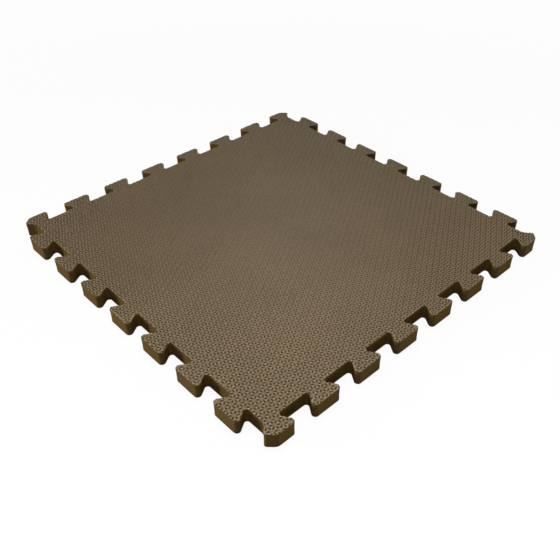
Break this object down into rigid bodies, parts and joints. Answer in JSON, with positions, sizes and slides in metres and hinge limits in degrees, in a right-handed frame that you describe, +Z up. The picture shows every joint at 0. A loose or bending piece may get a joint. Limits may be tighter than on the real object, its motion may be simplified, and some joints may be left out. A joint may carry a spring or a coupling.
{
  "type": "interlocking foam floor mat",
  "caption": "Square closed-cell foam floor mat with an embossed hexagon-flower face and dovetail tabs along every side that lock into the next mat.",
  "frame": {"origin": "centre of the underside, on the floor that the mat lies on", "axes": "+Z up through the thickness, +X towards a side that ends in corner tabs, +Y towards a side that ends in notches"},
  "size_m": [0.625, 0.625, 0.024],
  "materials": {
    "foam": "matt embossed brown foam"
  },
  "bodies": {
    "root": {"foam_mat": "foam"}
  },
  "joints": []
}
